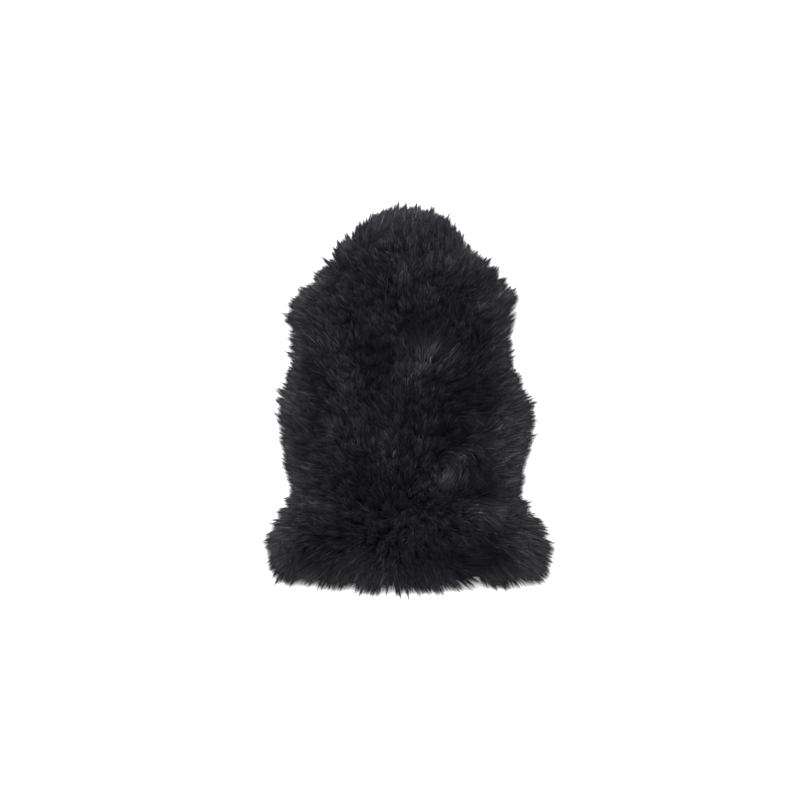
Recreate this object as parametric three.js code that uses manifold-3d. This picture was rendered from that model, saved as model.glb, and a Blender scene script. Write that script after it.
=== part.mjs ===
// A sheepskin rug of long shaggy wool that lies flat, wool up. It is one piece: a hide with the wool still on.
// Millimetres. +Z is up, +Y points to the neck, and the origin is on the floor under the middle of the rug.
import * as THREE from "three";
import { mergeVertices } from "three/addons/utils/BufferGeometryUtils.js";
import Module from "manifold-3d";

// Driving dimensions of the rug over the tips of its wool
const RUG_LENGTH = 856;
const RUG_WIDTH = 620;

// The hide, whose skin side shows from below inside a margin of wool
const HIDE_THICKNESS = 2.2;
const HIDE_INSET = 50; // from the tips of the wool in to the cut edge of the hide
const HIDE_ROOTING = 2; // how deep it runs up into the wool that it carries
const HIDE_COLUMNS = 18;
const HIDE_ROWS = 26;

// The dense wool
const WOOL_INSET = 15; // from the tips of the wool in to the edge of the dense wool
const WOOL_EDGE_HEIGHT = 10; // where the locks leave it
const WOOL_HEIGHT = 36; // in the middle, before tufts and swells
const SHOULDER_WIDTH = 62; // how far in from its edge the wool reaches its full height

// The tufts that its surface is made of
const TUFT_PITCH = 40;
const TUFT_RISE = { least: 6.6, most: 12 };
const TUFT_SPREAD = 0.78; // radius of a tuft in pitches
const TUFT_STRAY = { least: -0.3, most: 0.3 }; // how far a tuft sits from its even place, in pitches

// The grid that carries the surface
const GRID_COLUMNS = 34;
const GRID_ROWS = 47;
const GRID_RELAXING = 80; // rounds of evening out

// The locks round the rim
const LOCK_PITCH = 17.5;
const LOCK_ROOT = 24; // from the edge of the dense wool in to the lock's root
const LOCK_ROOT_WIDTH = 25;
const LOCK_SIZES = { least: 0.8, most: 1.1 }; // of the root's width and of the heights, from lock to lock
const LOCK_REACH = { least: -6, most: 4 }; // from the outline out to a tip
const LOCK_BEND = 5; // how far a lock bows to one side of its straight way
const LOCK_SWING = 0.1; // how far a lock turns sideways, as a slope
const COMB_TO_NECK = 0.42; // how far the locks of the flanks turn towards the neck
const COMB_STOP = -250; // locks nearer to the tail than this hang straight out

// The outline over the tips of the wool, in four sides that meet at four corners.
// Each side is one smooth curve through its rows.
const LEFT_FLANK = [
  { at: "rump corner", x: -272, y: -387 },
  { at: "hind leg", x: -304, y: -323 },
  { at: "hind leg, inner side", x: -290, y: -277 },
  { at: "hind waist", x: -258, y: -225 },
  { at: "hind waist, upper end", x: -255, y: -165 },
  { at: "belly", x: -277, y: -65 },
  { at: "belly, upper side", x: -272, y: -5 },
  { at: "fore waist, lower end", x: -253, y: 67 },
  { at: "fore waist", x: -243, y: 107 },
  { at: "fore leg, inner side", x: -254, y: 155 },
  { at: "fore leg", x: -257, y: 190 },
  { at: "shoulder", x: -235, y: 224 },
  { at: "side of the neck", x: -198, y: 267 },
  { at: "upper neck", x: -162, y: 322 },
  { at: "neck corner", x: -124, y: 365 },
];
const RIGHT_FLANK = [
  { at: "rump corner", x: 285, y: -391 },
  { at: "hind leg", x: 307, y: -335 },
  { at: "hind leg, inner side", x: 287, y: -262 },
  { at: "hind waist", x: 249, y: -210 },
  { at: "hind waist, upper end", x: 252, y: -163 },
  { at: "belly", x: 272, y: -75 },
  { at: "belly, upper side", x: 268, y: -12 },
  { at: "fore waist, lower end", x: 236, y: 63 },
  { at: "fore waist", x: 226, y: 105 },
  { at: "fore leg, inner side", x: 232, y: 160 },
  { at: "fore leg", x: 248, y: 201 },
  { at: "side of the neck", x: 209, y: 267 },
  { at: "upper neck", x: 158, y: 318 },
  { at: "neck corner", x: 114, y: 374 },
];
const NECK_EDGE = [
  { at: "left corner", x: -124, y: 365 },
  { at: "left bend", x: -96, y: 397 },
  { at: "left of the crown", x: -60, y: 414 },
  { at: "crown", x: 8, y: 424 },
  { at: "right of the crown", x: 62, y: 414 },
  { at: "right bend", x: 92, y: 399 },
  { at: "right corner", x: 114, y: 374 },
];
const RUMP_EDGE = [
  { at: "left corner", x: -272, y: -387 },
  { at: "left bend", x: -236, y: -400 },
  { at: "left half", x: -150, y: -408 },
  { at: "tail", x: 3, y: -417 },
  { at: "right half", x: 160, y: -407 },
  { at: "right bend", x: 240, y: -402 },
  { at: "right corner", x: 285, y: -391 },
];

// Broad swells and hollows of the wool
const SWELLS = [
  { at: "neck", x: 0, y: 330, radius: 110, rise: 3 },
  { at: "left shoulder", x: -150, y: 170, radius: 110, rise: 5 },
  { at: "right shoulder", x: 150, y: 180, radius: 100, rise: 4 },
  { at: "hollow between the shoulders", x: -60, y: 90, radius: 80, rise: -6 },
  { at: "standing tuft on the back", x: 55, y: 85, radius: 60, rise: 6 },
  { at: "hollow along the back", x: 10, y: -90, radius: 120, rise: -5 },
  { at: "right hip", x: 130, y: -150, radius: 80, rise: 6 },
  { at: "left belly", x: -170, y: -60, radius: 110, rise: 4 },
  { at: "left hind leg", x: -190, y: -320, radius: 90, rise: 5 },
  { at: "hollow above the tail", x: -40, y: -250, radius: 90, rise: -5 },
  { at: "right hind leg", x: 220, y: -310, radius: 90, rise: 5 },
];

// An even spread of numbers from 0 to 1 that looks random and is the same on every run.
function scatter(a, b, kind) {
  const mixed = Math.sin(a * 127.1 + b * 311.7 + kind * 74.7) * 43758.5453;
  return mixed - Math.floor(mixed);
}

const between = ({ least, most }, share) => least + (most - least) * share;

const curveThrough = (rows) => new THREE.SplineCurve(rows.map(({ x, y }) => new THREE.Vector2(x, y)));

// The rug's outline as even steps along its four sides, anticlockwise from the left rump corner.
const sides = {
  rump: curveThrough(RUMP_EDGE),
  right: curveThrough(RIGHT_FLANK),
  neck: curveThrough(NECK_EDGE),
  left: curveThrough(LEFT_FLANK),
};

function outline(columns, rows) {
  return [
    ...sides.rump.getSpacedPoints(columns).slice(0, columns),
    ...sides.right.getSpacedPoints(rows).slice(0, rows),
    ...sides.neck.getSpacedPoints(columns).reverse().slice(0, columns),
    ...sides.left.getSpacedPoints(rows).reverse().slice(0, rows),
  ];
}

// The outward normals of a closed anticlockwise line, smoothed over its neighbours.
function outwardNormals(points) {
  const reach = 2;
  return points.map((_, i) => {
    const before = points[(i - reach + points.length) % points.length];
    const after = points[(i + reach) % points.length];
    return new THREE.Vector2(after.y - before.y, before.x - after.x).normalize();
  });
}

function drawnIn(points, distance) {
  const normals = outwardNormals(points);
  return points.map((point, i) => point.clone().addScaledVector(normals[i], -distance));
}

const wasm = await Module();
wasm.setup();

function solidFrom(positions, triangles) {
  return new wasm.Manifold(
    new wasm.Mesh({
      numProp: 3,
      vertProperties: new Float32Array(positions),
      triVerts: new Uint32Array(triangles),
    }),
  );
}

function geometryOf(solid) {
  const { vertProperties, triVerts } = solid.getMesh();
  const geometry = new THREE.BufferGeometry();
  geometry.setAttribute("position", new THREE.BufferAttribute(vertProperties, 3));
  geometry.setIndex(new THREE.BufferAttribute(triVerts, 1));
  geometry.computeVertexNormals();
  return geometry;
}

// The edge of the dense wool, and the grid of points that fills it from side to side.
const woolEdge = drawnIn(outline(GRID_COLUMNS, GRID_ROWS), WOOL_INSET);

function gridPoint(column, row) {
  const corner = { rump: GRID_COLUMNS, right: GRID_COLUMNS + GRID_ROWS, neck: 2 * GRID_COLUMNS + GRID_ROWS };
  const across = column / GRID_COLUMNS;
  const along = row / GRID_ROWS;
  const rump = woolEdge[column];
  const neck = woolEdge[corner.neck - column];
  const right = woolEdge[corner.rump + row];
  const left = woolEdge[(woolEdge.length - row) % woolEdge.length];
  const blend = (axis) =>
    (1 - along) * rump[axis] +
    along * neck[axis] +
    (1 - across) * left[axis] +
    across * right[axis] -
    (1 - across) * (1 - along) * woolEdge[0][axis] -
    across * (1 - along) * woolEdge[corner.rump][axis] -
    across * along * woolEdge[corner.right][axis] -
    (1 - across) * along * woolEdge[corner.neck][axis];
  return new THREE.Vector2(blend("x"), blend("y"));
}

// The grid's points, evened out inside the edge so that no two lines of it cross.
const gridPoints = [];
for (let row = 0; row <= GRID_ROWS; row++) {
  gridPoints.push([]);
  for (let column = 0; column <= GRID_COLUMNS; column++) gridPoints[row].push(gridPoint(column, row));
}
for (let round = 0; round < GRID_RELAXING; round++) {
  for (let row = 1; row < GRID_ROWS; row++) {
    for (let column = 1; column < GRID_COLUMNS; column++) {
      const point = gridPoints[row][column];
      point.copy(gridPoints[row - 1][column]).add(gridPoints[row + 1][column]);
      point.add(gridPoints[row][column - 1]).add(gridPoints[row][column + 1]).multiplyScalar(0.25);
    }
  }
}

// How high the nearest tufts stand at a point.
function tuftRise({ x, y }) {
  const column = Math.round(x / TUFT_PITCH);
  const row = Math.round(y / TUFT_PITCH);
  let highest = 0;
  for (let i = column - 2; i <= column + 2; i++) {
    for (let j = row - 2; j <= row + 2; j++) {
      const middleX = (i + between(TUFT_STRAY, scatter(i, j, 1))) * TUFT_PITCH;
      const middleY = (j + between(TUFT_STRAY, scatter(i, j, 2))) * TUFT_PITCH;
      const away = Math.hypot(x - middleX, y - middleY) / (TUFT_SPREAD * TUFT_PITCH);
      highest = Math.max(highest, between(TUFT_RISE, scatter(i, j, 3)) * (1 - away * away));
    }
  }
  return highest;
}

function swellRise({ x, y }) {
  return SWELLS.reduce((sum, swell) => {
    const away = Math.hypot(x - swell.x, y - swell.y) / swell.radius;
    return sum + swell.rise * Math.exp(-away * away);
  }, 0);
}

function woolHeight(point) {
  const fromEdge = Math.min(...woolEdge.map((edge) => edge.distanceTo(point)));
  const share = Math.min(1, fromEdge / SHOULDER_WIDTH);
  const shoulder = Math.sqrt(1 - (1 - share) * (1 - share));
  const full = WOOL_HEIGHT + tuftRise(point) + swellRise(point);
  return WOOL_EDGE_HEIGHT + (full - WOOL_EDGE_HEIGHT) * shoulder;
}

// The dense wool: a lumpy top on the grid, a flat underside and a low wall between them.
function denseWool() {
  const positions = [];
  const triangles = [];
  const onGrid = (column, row) => row * (GRID_COLUMNS + 1) + column;
  for (let row = 0; row <= GRID_ROWS; row++) {
    for (let column = 0; column <= GRID_COLUMNS; column++) {
      const point = gridPoints[row][column];
      positions.push(point.x, point.y, woolHeight(point));
    }
  }
  const placeOf = (index) => new THREE.Vector3().fromArray(positions, 3 * index);
  for (let row = 0; row < GRID_ROWS; row++) {
    for (let column = 0; column < GRID_COLUMNS; column++) {
      const [a, b] = [onGrid(column, row), onGrid(column + 1, row)];
      const [d, c] = [onGrid(column, row + 1), onGrid(column + 1, row + 1)];
      const cutFromA = placeOf(a).distanceTo(placeOf(c)) < placeOf(b).distanceTo(placeOf(d));
      triangles.push(...(cutFromA ? [a, b, c, a, c, d] : [a, b, d, b, c, d]));
    }
  }
  const rim = [];
  for (let column = 0; column < GRID_COLUMNS; column++) rim.push(onGrid(column, 0));
  for (let row = 0; row < GRID_ROWS; row++) rim.push(onGrid(GRID_COLUMNS, row));
  for (let column = GRID_COLUMNS; column > 0; column--) rim.push(onGrid(column, GRID_ROWS));
  for (let row = GRID_ROWS; row > 0; row--) rim.push(onGrid(0, row));
  const foot = positions.length / 3;
  for (const index of rim) positions.push(positions[3 * index], positions[3 * index + 1], HIDE_THICKNESS);
  rim.forEach((index, i) => {
    const next = (i + 1) % rim.length;
    triangles.push(index, foot + i, foot + next, index, foot + next, rim[next]);
  });
  const footLine = rim.map((index) => new THREE.Vector2(positions[3 * index], positions[3 * index + 1]));
  for (const [a, b, c] of THREE.ShapeUtils.triangulateShape(footLine, [])) {
    triangles.push(foot + a, foot + c, foot + b);
  }
  return solidFrom(positions, triangles);
}

// The sections of a lock from its root to its tip. Each is a triangle on a level base:
// out is the share of the way to the tip, width the share of the root's width, under and ridge are heights.
const LOCK_SECTIONS = [
  { out: 0.16, width: 0.95, under: 8, ridge: 27 },
  { out: 0.55, width: 0.9, under: 0, ridge: 19 },
  { out: 0.8, width: 0.5, under: 0, ridge: 9 },
];

// One lock that leaves the dense wool, sinks to the floor and rests level on it, out to its tip.
function lock(root, tip, size, bend) {
  const positions = [];
  const triangles = [];
  const way = tip.clone().sub(root);
  const aside = new THREE.Vector2(-way.y, way.x).normalize();
  for (const { out, width, under, ridge } of LOCK_SECTIONS) {
    const middle = root.clone().addScaledVector(way, out);
    middle.addScaledVector(aside, bend * Math.sin(Math.PI * out));
    const half = 0.5 * LOCK_ROOT_WIDTH * size * width;
    const left = middle.clone().addScaledVector(aside, half);
    const right = middle.clone().addScaledVector(aside, -half);
    positions.push(left.x, left.y, under, right.x, right.y, under, middle.x, middle.y, ridge * size);
  }
  positions.push(tip.x, tip.y, 0);
  triangles.push(0, 1, 2);
  const last = 3 * (LOCK_SECTIONS.length - 1);
  for (let base = 0; base < last; base += 3) {
    for (let side = 0; side < 3; side++) {
      const [a, b] = [base + side, base + ((side + 1) % 3)];
      triangles.push(a, a + 3, b + 3, a, b + 3, b);
    }
  }
  for (let side = 0; side < 3; side++) triangles.push(last + side, last + 3, last + ((side + 1) % 3));
  return solidFrom(positions, triangles);
}

// All the locks round the rim, their tips as uneven as wool is.
function rimLocks() {
  const round = outline(4 * GRID_COLUMNS, 4 * GRID_ROWS);
  const normals = outwardNormals(round);
  const locks = [];
  let walked = 0;
  round.forEach((point, i) => {
    walked += point.distanceTo(round[(i + 1) % round.length]);
    if (walked < LOCK_PITCH) return;
    walked -= LOCK_PITCH;
    const chance = (kind) => scatter(locks.length, 0, kind);
    const swing = between({ least: -LOCK_SWING, most: LOCK_SWING }, chance(1));
    const comb = point.y > COMB_STOP ? COMB_TO_NECK * Math.abs(normals[i].x) : 0;
    const heading = normals[i].clone().add(new THREE.Vector2(swing, comb)).normalize();
    const root = point.clone().addScaledVector(normals[i], -WOOL_INSET - LOCK_ROOT);
    const outwards = WOOL_INSET + LOCK_ROOT + between(LOCK_REACH, chance(2));
    const tip = root.clone().addScaledVector(heading, outwards / heading.dot(normals[i]));
    const bend = between({ least: -LOCK_BEND, most: LOCK_BEND }, chance(3));
    locks.push(lock(root, tip, between(LOCK_SIZES, chance(4)), bend));
  });
  return locks;
}

// The hide: a flat plate under the wool, its foot on the floor and its top rooted in the wool.
function hide() {
  const cut = drawnIn(outline(HIDE_COLUMNS, HIDE_ROWS), HIDE_INSET);
  const plate = new THREE.ExtrudeGeometry(new THREE.Shape(cut), {
    depth: HIDE_THICKNESS + HIDE_ROOTING,
    bevelEnabled: false,
  });
  plate.deleteAttribute("normal");
  plate.deleteAttribute("uv");
  const merged = mergeVertices(plate, 1e-3);
  return solidFrom(merged.getAttribute("position").array, merged.getIndex().array);
}

// The named mesh
const blackWool = new THREE.MeshStandardMaterial({ color: 0x1d1d20, roughness: 0.7, metalness: 0 });
const sheepskin = new THREE.Mesh(
  geometryOf(wasm.Manifold.union([denseWool(), hide(), ...rimLocks()])),
  blackWool,
);
sheepskin.name = "sheepskin";

// The rug is brought to its exact length and width over the tips, and centred on its origin.
const rug = new THREE.Group();
rug.add(sheepskin);
const reach = new THREE.Box3().setFromObject(rug);
const size = reach.getSize(new THREE.Vector3());
const middle = reach.getCenter(new THREE.Vector3());
rug.scale.set(RUG_WIDTH / size.x, RUG_LENGTH / size.y, 1);
rug.position.set(-middle.x * rug.scale.x, -middle.y * rug.scale.y, 0);

export default rug;
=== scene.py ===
"""A black sheepskin rug of long shaggy wool, lying flat: its hide, its underwool and its locks."""

import math
from typing import NamedTuple

import bmesh
import bpy
import numpy as np
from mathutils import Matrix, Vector
from mathutils.bvhtree import BVHTree
from mathutils.geometry import delaunay_2d_cdt


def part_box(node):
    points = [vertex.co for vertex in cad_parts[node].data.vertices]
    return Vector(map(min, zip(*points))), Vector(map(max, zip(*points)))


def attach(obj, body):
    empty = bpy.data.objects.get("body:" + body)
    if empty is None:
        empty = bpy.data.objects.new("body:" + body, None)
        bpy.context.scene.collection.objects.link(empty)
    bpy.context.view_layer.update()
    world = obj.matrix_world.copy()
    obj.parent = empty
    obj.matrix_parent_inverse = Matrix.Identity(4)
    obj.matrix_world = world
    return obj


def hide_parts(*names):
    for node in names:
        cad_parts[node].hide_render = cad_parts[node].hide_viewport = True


bl_info = {
    "name": "Sheepskin rug",
    "version": (1, 0, 0),
    "blender": (4, 5, 0),
    "location": "3D View > Sidebar > Sheepskin",
    "description": "Grows the hide and the wool of a sheepskin rug on its solid",
    "category": "Add Mesh",
}

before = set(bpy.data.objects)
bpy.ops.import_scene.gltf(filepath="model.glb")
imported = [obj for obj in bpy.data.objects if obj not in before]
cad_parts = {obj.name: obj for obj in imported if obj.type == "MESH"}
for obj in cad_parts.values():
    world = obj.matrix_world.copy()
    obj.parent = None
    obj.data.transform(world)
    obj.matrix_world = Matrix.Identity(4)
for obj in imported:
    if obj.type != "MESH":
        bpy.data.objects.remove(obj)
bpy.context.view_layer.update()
SOLID = "sheepskin"
UV_NAME = "OFBake"

# Seeds of the random draws
SEED_LOCKS = 11
SEED_WISPS = 12
SEED_ROOTS = 13
SEED_STRANDS = 14
SEED_NOISE = 15
SEED_THREADS = 16


class Lie(NamedTuple):
    """How the wool lies across the rug at y, in degrees from the neck's way out to the flank."""

    y: float
    left: float
    right: float


class Tuft(NamedTuple):
    """A place where the wool lies in a way of its own."""

    name: str
    x: float
    y: float
    size: float  # how far out it acts
    turn: float  # degrees clockwise from the lie around it
    spread: float = 0.0  # how far it opens like a fan
    lift: float = 0.0  # how much higher its strands stand
    comb: float = 0.0  # how neatly they lie side by side, 0 to 1
    bow: float = 0.0  # how far they bow to their left


class Shade(NamedTuple):
    """A patch of the wool painted lighter or darker, partly its own tone and partly painted light and shade,
    with half its width and half its length.
    """

    name: str
    x: float
    y: float
    wide: float
    long: float
    tone: float


class Region(NamedTuple):
    """The part of the rug whose locks make one piece. A side that isn't given lies beyond the rim."""

    piece: str
    from_x: float = -1.0
    to_x: float = 1.0
    from_y: float = -1.0
    to_y: float = 1.0


class Station(NamedTuple):
    """A place on a strand between its root and its tip, in shares of what the whole strand has."""

    along: float  # its length
    out: float  # its way as seen from above
    thick: float  # its thickness
    bend: float  # its lock's curve
    crimp: float  # its own wave


class Waver(NamedTuple):
    """A smooth random change over the rug: the size of its features, its strength and its seeds."""

    size: float
    strength: float
    seeds: tuple

    def over(self, points):
        """Values from -1 to 1 at points, in one column for each seed."""
        return np.stack([Noise(self.size, SEED_NOISE + seed)(points) for seed in self.seeds], axis=1)


LIE = (
    Lie(y=0.40, left=5, right=25),
    Lie(y=0.28, left=52, right=32),
    Lie(y=0.16, left=44, right=32),
    Lie(y=0.04, left=36, right=46),
    Lie(y=-0.08, left=48, right=50),
    Lie(y=-0.19, left=46, right=52),
    Lie(y=-0.27, left=68, right=78),
    Lie(y=-0.33, left=112, right=124),
    Lie(y=-0.40, left=135, right=140),
)

TUFTS = (
    Tuft("standing fan", x=0.038, y=0.055, size=0.044, turn=14, spread=0.35, lift=0.007, comb=1.0),
    Tuft("parting beside the fan", x=0.000, y=0.060, size=0.030, turn=-26),
    Tuft("combed side of the spine", x=-0.025, y=-0.060, size=0.045, turn=-37, comb=0.4, bow=0.004),
    Tuft("cowlick on the right", x=0.118, y=-0.046, size=0.026, turn=99, lift=0.003, comb=0.8, bow=0.010),
    Tuft("curl on the right loin", x=0.128, y=-0.115, size=0.024, turn=5, lift=0.002, comb=0.6, bow=0.010),
    Tuft("bright swirl", x=0.102, y=-0.144, size=0.033, turn=185, lift=0.007, comb=0.6, bow=0.006),
    Tuft("curl on the right hip", x=0.145, y=-0.235, size=0.034, turn=62,
         spread=0.2, lift=0.004, comb=0.7, bow=0.006),
    Tuft("curl by the tail", x=0.095, y=-0.372, size=0.034, turn=-60, lift=0.004),
    Tuft("left side of the neck", x=-0.080, y=0.345, size=0.045, turn=34, comb=0.2),
    Tuft("middle of the neck", x=0.020, y=0.345, size=0.060, turn=0, comb=0.3),
    Tuft("tuft on the left belly", x=-0.145, y=-0.160, size=0.050, turn=-30, spread=0.3, lift=0.002),
)

# Each row gives the name, x, y, wide, long and tone. The tones are partly the wool's own and partly painted
# light and shade: painted highlights on lit tufts such as the standing fan, painted shadows in hollows and
# under the nape.
TONE_AND_PAINTED_LIGHT = [Shade(*row) for row in (
    ("standing fan", 0.034, 0.064, 0.028, 0.034, 0.64),
    ("tips of the fan", 0.054, 0.100, 0.020, 0.024, 0.36),
    ("right of the fan", 0.094, 0.060, 0.024, 0.040, 0.34),
    ("foot of the fan", -0.008, 0.038, 0.020, 0.026, 0.42),
    ("neck", 0.006, 0.346, 0.055, 0.036, 0.24),
    ("nape", -0.008, 0.276, 0.024, 0.032, 0.42),
    ("right of the nape", 0.045, 0.225, 0.028, 0.020, 0.28),
    ("between the shoulders", -0.080, 0.160, 0.018, 0.022, 0.24),
    ("left shoulder", -0.168, 0.150, 0.032, 0.055, 0.30),
    ("right shoulder", 0.168, 0.190, 0.026, 0.022, 0.46),
    ("left side", -0.138, 0.034, 0.030, 0.046, 0.44),
    ("left ribs", -0.150, -0.085, 0.050, 0.040, 0.32),
    ("left thigh", -0.194, -0.252, 0.026, 0.034, 0.40),
    ("lock left of the spine", -0.046, -0.116, 0.020, 0.040, 0.48),
    ("right side", 0.205, -0.080, 0.040, 0.070, 0.34),
    ("bright swirl", 0.082, -0.182, 0.026, 0.026, 0.52),
    ("tips of the swirl", 0.132, -0.136, 0.030, 0.020, 0.66),
    ("right hip", 0.146, -0.262, 0.024, 0.036, 0.24),
    ("right thigh", 0.196, -0.260, 0.026, 0.035, 0.44),
    ("right hind corner", 0.254, -0.352, 0.036, 0.070, 0.40),
    ("left hind corner", -0.275, -0.310, 0.040, 0.045, 0.34),
    ("curl by the tail", 0.085, -0.384, 0.028, 0.012, 0.26),
    ("left edge of the neck", -0.158, 0.310, 0.042, 0.060, -0.28),
    ("dark spot of the neck", 0.084, 0.364, 0.020, 0.020, -0.42),
    ("behind the right shoulder", 0.172, 0.266, 0.040, 0.030, -0.28),
    ("shadow of the nape", 0.040, 0.164, 0.036, 0.020, -0.40),
    ("shadow by the shoulder", 0.082, 0.184, 0.030, 0.022, -0.54),
    ("right armpit", 0.166, 0.132, 0.022, 0.034, -0.44),
    ("left hollow", -0.070, 0.074, 0.034, 0.050, -0.60),
    ("left armpit", -0.218, 0.056, 0.024, 0.030, -0.42),
    ("right hollow", 0.140, 0.008, 0.052, 0.040, -0.52),
    ("hollow by the spine", 0.094, -0.094, 0.044, 0.030, -0.60),
    ("left loin", -0.110, -0.180, 0.045, 0.055, -0.28),
    ("gap by the swirl", 0.152, -0.174, 0.026, 0.018, -0.60),
    ("gap by the hip", 0.174, -0.218, 0.014, 0.018, -0.54),
    ("left hind leg", -0.205, -0.368, 0.030, 0.024, -0.20),
    ("right hind leg", 0.190, -0.360, 0.044, 0.024, -0.50),
    ("before the tail", 0.076, -0.366, 0.056, 0.030, -0.42),
    ("right of the neck", 0.074, 0.290, 0.032, 0.026, 0.40),
    ("left side of the neck", -0.060, 0.335, 0.024, 0.020, 0.30),
    ("end of the fan", 0.022, 0.142, 0.028, 0.020, -0.95),
    ("shadow left of the nape", -0.045, 0.190, 0.024, 0.022, -0.26),
    ("behind the left shoulder", -0.135, 0.170, 0.024, 0.020, -0.30),
    ("rump", -0.040, -0.232, 0.050, 0.024, -0.26),
    ("shadow on the nape", 0.022, 0.242, 0.022, 0.022, -0.34),
    ("across the back", 0.020, -0.034, 0.100, 0.020, -0.22),
    ("left edge of the flank", -0.238, -0.118, 0.020, 0.034, -0.22),
    ("loin by the spine", -0.026, -0.180, 0.036, 0.026, -0.36),
    ("edge of the tail", 0.030, -0.396, 0.140, 0.022, -0.24),
    ("left flank", -0.168, -0.156, 0.032, 0.024, 0.30),
    ("gap right of the fan", 0.092, 0.118, 0.016, 0.018, -0.34),
    ("top of the left shoulder", -0.140, 0.228, 0.022, 0.026, 0.22),
    ("lock right of the spine", 0.064, -0.118, 0.018, 0.016, 0.46),
    ("shadow under the nape", -0.012, 0.216, 0.018, 0.018, -0.32),
    ("top left of the neck", -0.108, 0.372, 0.030, 0.024, -0.24),
)]

REGIONS = (
    Region("wool_neck", from_y=0.185),
    Region("wool_left_flank", to_x=-0.1, from_y=-0.255, to_y=0.185),
    Region("wool_right_flank", from_x=0.1, from_y=-0.255, to_y=0.185),
    Region("wool_back", from_x=-0.1, to_x=0.1, from_y=-0.035, to_y=0.185),
    Region("wool_loin", from_x=-0.1, to_x=0.1, from_y=-0.255, to_y=-0.035),
    Region("wool_rump", to_y=-0.255),
)

STATIONS = (
    Station(along=0.0, out=0.0, thick=0.8, bend=0.0, crimp=0.0),
    Station(along=0.34, out=0.30, thick=1.0, bend=0.8, crimp=1.0),
    Station(along=0.68, out=0.65, thick=0.8, bend=1.0, crimp=-0.8),
    Station(along=1.0, out=1.0, thick=0.0, bend=0.0, crimp=0.3),
)

LIE_WIDTH = 0.20  # from the spine out to where the lie is that of the flank
# Belts of the rug from where something sets in to where it is full, in metres outside the hide's edge
RIM_BELT = (-0.06, 0.02)  # where the wool lies flat and outwards
RIM_LIGHT_BELT = (-0.06, 0.03)
TIPS_LIGHT_BELT = (-0.008, 0.04)
# The same for the middle, in metres inside the hide's edge
MIDDLE_BELT = (0.03, 0.12)
# How the lie wavers: moved about in metres, turned in radians, and blown in shares of its lean
WARP = Waver(size=0.065, strength=0.028, seeds=(4, 5))
TURNS = Waver(size=0.075, strength=0.30, seeds=(0,))
GUSTS = Waver(size=0.034, strength=0.32, seeds=(1, 2))
FLURRIES = Waver(size=0.018, strength=0.24, seeds=(7, 8))
RIM_LEAN = 0.20  # how much more the rim's wool leans outwards
RIM_CALM = 0.55  # how much less it is blown about
LEAST_WILD = 0.1
# Tones are decades of lightness above the darkest wool.
TONE_RANGE = 1.3  # between the two ends of the tones in the UV map
STRAND_SHADE = 0.004  # the share of the UV map's tones that the width of a strand takes up
BASE_TONE = 0.215
RIM_PAINTED_LIGHT = 0.29  # painted light, more in the rim's pale belt, where the wool lies flat and thin in the light
TIPS_PAINTED_LIGHT = 0.24  # and more painted light again at the tips of the rim
CLOUDS = Waver(size=0.06, strength=0.05, seeds=(3,))
MOTTLES = Waver(size=0.026, strength=0.08, seeds=(6,))
LUMPS = Waver(size=0.011, strength=0.0025, seeds=(2,))  # of the underwool


def metres(name, description, default):
    """A property that holds a length."""
    return bpy.props.FloatProperty(
        name=name, description=description, default=default, unit="LENGTH", precision=4)


def paint(name, description, default):
    """A property that holds a colour."""
    return bpy.props.FloatVectorProperty(
        name=name, description=description, subtype="COLOR", default=default, min=0, max=1)


class WoolSettings(bpy.types.PropertyGroup):
    """Sizes of the hide and of the wool."""

    strands: bpy.props.IntProperty(
        name="Strands", description="Strands of wool on the whole rug", default=176000, min=1000)
    strand_thickness: metres("Strand thickness", "Width of a strand near its root", 0.0013)
    strand_reach: metres("Strand reach", "How far a strand lies over, seen from above", 0.060)
    lock_pitch: metres("Lock pitch", "Distance between neighbouring locks", 0.0155)
    wisp_pitch: metres("Wisp pitch", "Distance between the wisps that make a lock", 0.0052)
    thread_pitch: metres("Thread pitch", "Distance between the threads of one tone in a wisp", 0.0026)
    root_overhang: metres("Root overhang", "How far beyond the hide's edge the last strands start", 0.008)
    underwool_depth: metres("Underwool depth", "From the surface of the wool down to the underwool", 0.011)
    hide_thickness: metres("Hide thickness", "Thickness of the tanned hide", 0.0022)


class ColourSettings(bpy.types.PropertyGroup):
    """Colours of the wool, the hide and the floor."""

    # Deep wool is the bluish colour of painted shade in the darkest strands, and lit wool is the grey of
    # painted light on the lightest strands.
    deep: paint("Deep wool", "Colour of the darkest strands", (0.0128, 0.0115, 0.0182))
    lit_wool: paint("Worn wool", "Colour of the lightest strands", (0.0128, 0.0127, 0.0140))
    underwool: paint("Underwool", "Colour of the felted wool between the locks", (0.0095, 0.0091, 0.0115))
    hide: paint("Hide", "Colour of the skin side", (0.055, 0.052, 0.053))
    floor: paint("Floor", "Colour of the floor", (0.93, 0.93, 0.93))


class StageSettings(bpy.types.PropertyGroup):
    """The camera and the light."""

    elevation: bpy.props.FloatProperty(
        name="Camera elevation", description="Angle of the camera above the floor",
        default=math.radians(80), subtype="ANGLE")
    distance: metres("Camera distance", "From the rug to the camera", 5.05)
    aim: bpy.props.FloatVectorProperty(
        name="Camera aim", description="Point at the middle of the picture",
        default=(-0.016, -0.009, 0.02), subtype="TRANSLATION", unit="LENGTH")
    lens: bpy.props.FloatProperty(name="Lens", description="Focal length in millimetres", default=105)
    key_power: bpy.props.FloatProperty(
        name="Key light", description="Power of the large light behind the neck", default=110, unit="POWER")
    fill_power: bpy.props.FloatProperty(
        name="Fill light", description="Power of each of the two side lights", default=6, unit="POWER")
    sky: bpy.props.FloatProperty(name="Sky", description="Strength of the white surround", default=1.0)


def unit(vectors):
    """Vectors along the last axis, each of length 1."""
    length = np.linalg.norm(vectors, axis=-1, keepdims=True)
    return vectors / np.maximum(length, 1e-9)


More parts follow.
